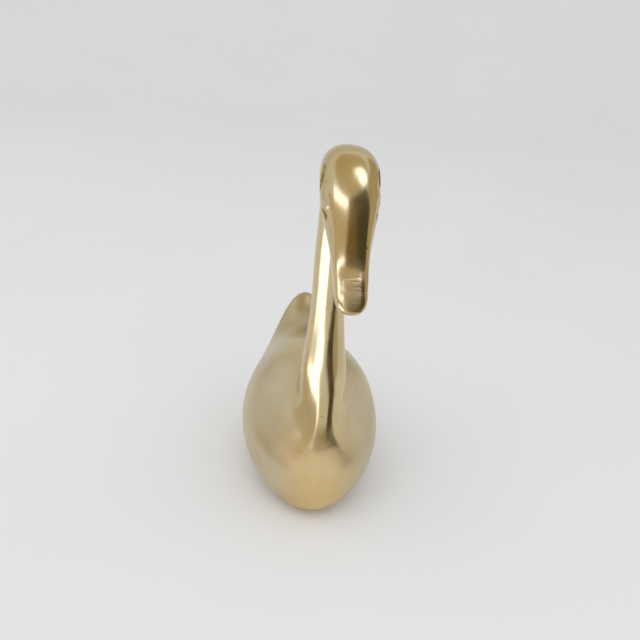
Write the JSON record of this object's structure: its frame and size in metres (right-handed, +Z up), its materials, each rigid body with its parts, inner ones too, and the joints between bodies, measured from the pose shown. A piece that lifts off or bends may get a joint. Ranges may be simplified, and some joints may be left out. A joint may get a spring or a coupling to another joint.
{
  "type": "swan figurine",
  "caption": "Polished cast brass swan ornament with a hollow rounded body, upturned tail, slender curved neck and lowered bill; stands on its flat belly.",
  "frame": {"origin": "on the table plane under the middle of the whole length, in the swan's mirror plane", "axes": "+Z up from the table, -Y the way the swan faces, +X to the swan's left"},
  "size_m": [0.06, 0.1206, 0.1539],
  "materials": {
    "cast_brass": "cast, hand polished to a soft gloss, with fine scratches and small pits",
    "steel": "plain turned steel, hidden inside"
  },
  "bodies": {
    "root": {"body_casting": "cast_brass", "neck_and_head": "cast_brass", "neck_stud": "steel", "neck_washer": "steel", "neck_nut": "steel"}
  },
  "joints": []
}
